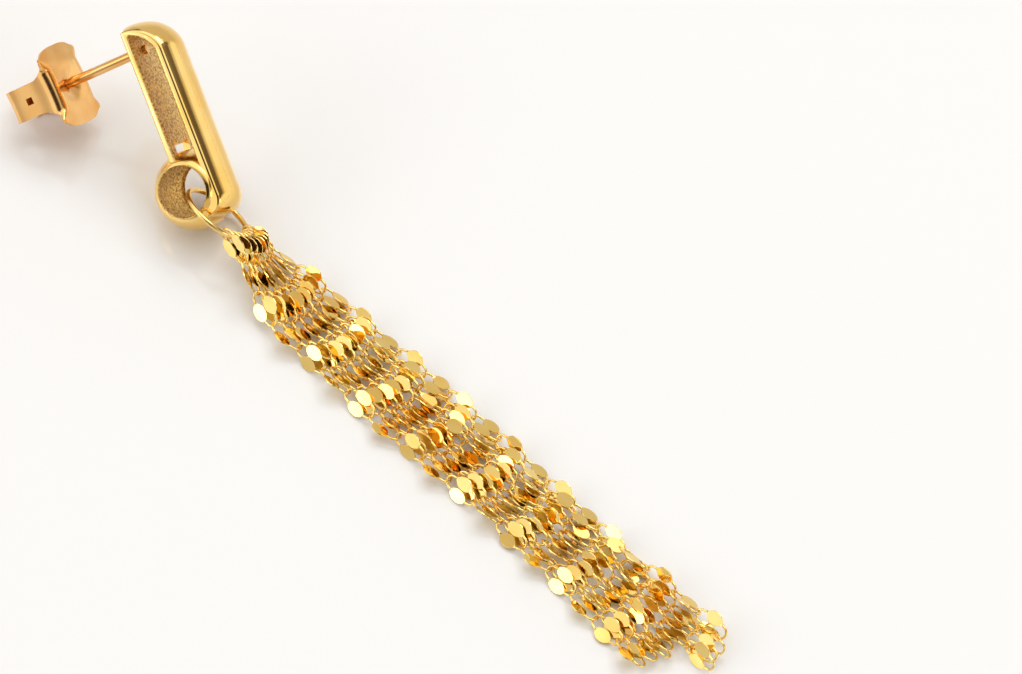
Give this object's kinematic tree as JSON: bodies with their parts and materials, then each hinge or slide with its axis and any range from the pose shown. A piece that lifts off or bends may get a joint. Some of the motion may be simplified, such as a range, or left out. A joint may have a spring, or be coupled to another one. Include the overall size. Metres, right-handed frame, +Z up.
{
  "type": "dangle earring",
  "caption": "Gold post earring: hollow bar head with a pierced ball, friction clutch, jump ring and a long tassel of mirror-link chains, lying flat.",
  "frame": {"origin": "centre of the bounding box at its bottom, on the surface that the earring lies on", "axes": "+Z up; +X along the strands, from the head to their loose ends; +Y away from the viewer's side"},
  "size_m": [0.0852, 0.0134, 0.0125],
  "materials": {
    "yellow_gold": "polished",
    "peach_gold": "polished"
  },
  "bodies": {
    "earring": {"earring_head": "yellow_gold", "jump_ring": "yellow_gold", "strand_1": "yellow_gold", "strand_2": "yellow_gold", "strand_3": "yellow_gold", "strand_4": "yellow_gold", "strand_5": "yellow_gold", "strand_6": "yellow_gold", "strand_7": "yellow_gold", "strand_8": "yellow_gold"},
    "clutch": {"butterfly_clutch": "peach_gold"}
  },
  "joints": [
    {"name": "clutch_slide", "type": "slide", "parent": "earring", "child": "clutch", "axis": [-0.5267, -0.6384, -0.5612], "range_m": [-0.0065, 0.006]}
  ]
}
